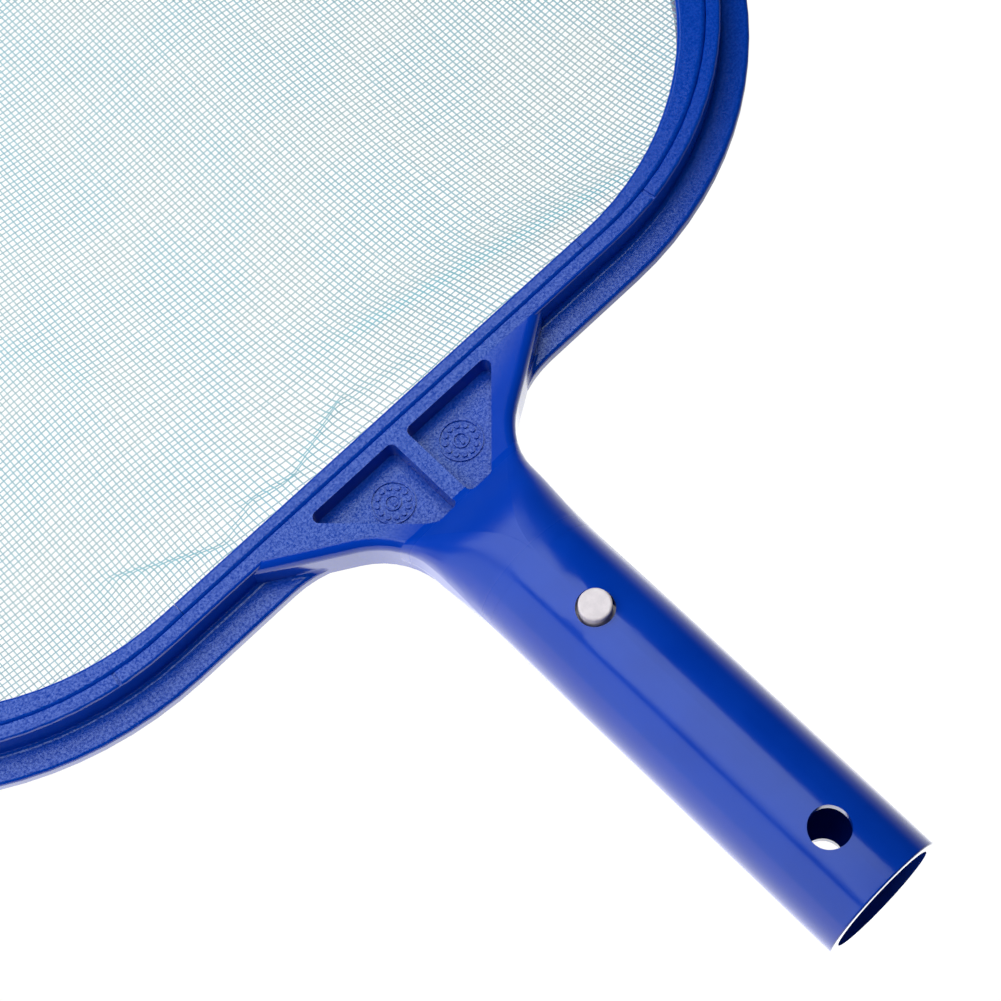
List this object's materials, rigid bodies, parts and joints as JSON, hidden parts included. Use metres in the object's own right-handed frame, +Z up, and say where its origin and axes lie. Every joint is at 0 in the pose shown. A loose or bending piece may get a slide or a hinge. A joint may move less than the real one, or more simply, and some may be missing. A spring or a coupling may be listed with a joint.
{
  "type": "leaf skimmer net",
  "caption": "Flat leaf skimmer: a blue moulded hoop with a clamped fine mesh net, a Y-shaped neck and a hollow pole handle that holds a spring clip with snap buttons.",
  "frame": {"origin": "centre of the handle's open end, on the tube's axis", "axes": "+Y along the handle towards the net, +Z up out of the face that shows the net strips, +X across the net"},
  "size_m": [0.3032, 0.4372, 0.0318],
  "materials": {
    "frame_plastic": "satin moulded, royal blue",
    "strip_plastic": "fine moulded texture, royal blue",
    "net_mesh": "fine woven mesh, very pale blue",
    "hem_cord": "braided cord, very pale blue",
    "clip_plastic": "moulded, off-white"
  },
  "bodies": {
    "skimmer_head": {"frame_and_handle": "frame_plastic", "rear_net_strip": "strip_plastic", "hoop_net_strip": "strip_plastic", "mesh_net": "net_mesh", "net_edge_cord": "hem_cord", "clip_bend": "clip_plastic"},
    "upper_leg": {"upper_clip_leg": "clip_plastic"},
    "lower_leg": {"lower_clip_leg": "clip_plastic"}
  },
  "joints": [
    {"name": "upper_button_press", "type": "hinge", "parent": "skimmer_head", "child": "upper_leg", "pos_m": [0, 0.034, 0.0084], "axis": [-1, 0, 0], "range_deg": [0, 6.6], "stiffness_Nm_per_rad": 0.5, "springref_deg": -25.78},
    {"name": "lower_button_press", "type": "hinge", "parent": "skimmer_head", "child": "lower_leg", "pos_m": [0, 0.034, -0.0084], "axis": [1, 0, 0], "range_deg": [0, 6.6], "stiffness_Nm_per_rad": 0.5, "springref_deg": -25.78}
  ]
}
